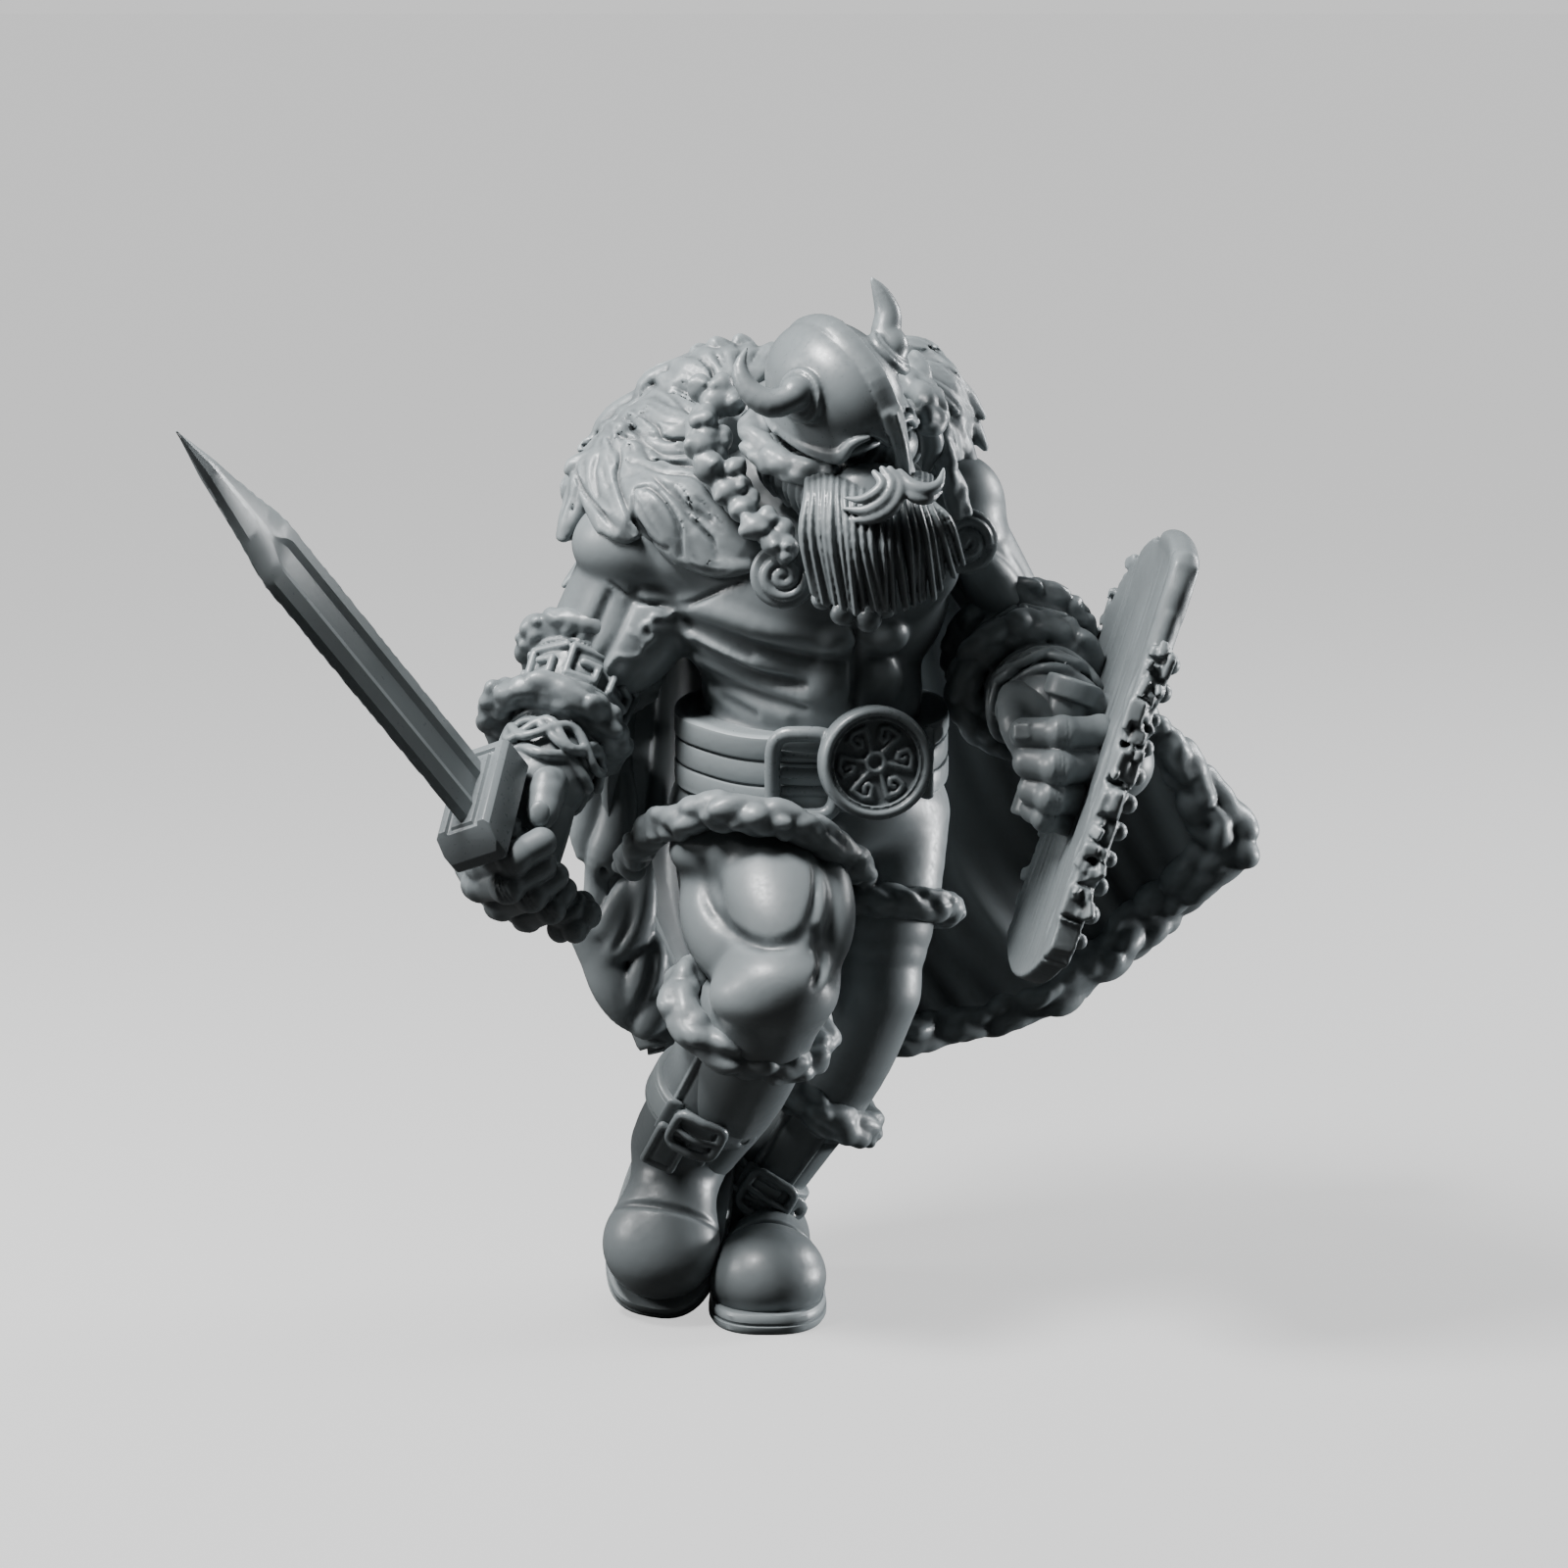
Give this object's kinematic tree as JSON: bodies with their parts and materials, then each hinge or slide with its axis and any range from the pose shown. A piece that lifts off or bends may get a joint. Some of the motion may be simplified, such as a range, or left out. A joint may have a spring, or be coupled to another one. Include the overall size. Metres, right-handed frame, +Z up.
{
  "type": "miniature figure",
  "caption": "Viking warrior miniature in grey resin: horned helmet, raised sword, broken round shield, cape and fur mantle.",
  "frame": {"origin": "middle of the planted boot's sole, on the surface that the figure stands on", "axes": "+Z up, +Y to the figure's back, +X towards its shield, to the right as seen from in front"},
  "size_m": [0.0791, 0.054, 0.078],
  "materials": {
    "resin": "cast grey resin, satin sheen"
  },
  "bodies": {
    "root": {"viking_figure": "resin"}
  },
  "joints": []
}
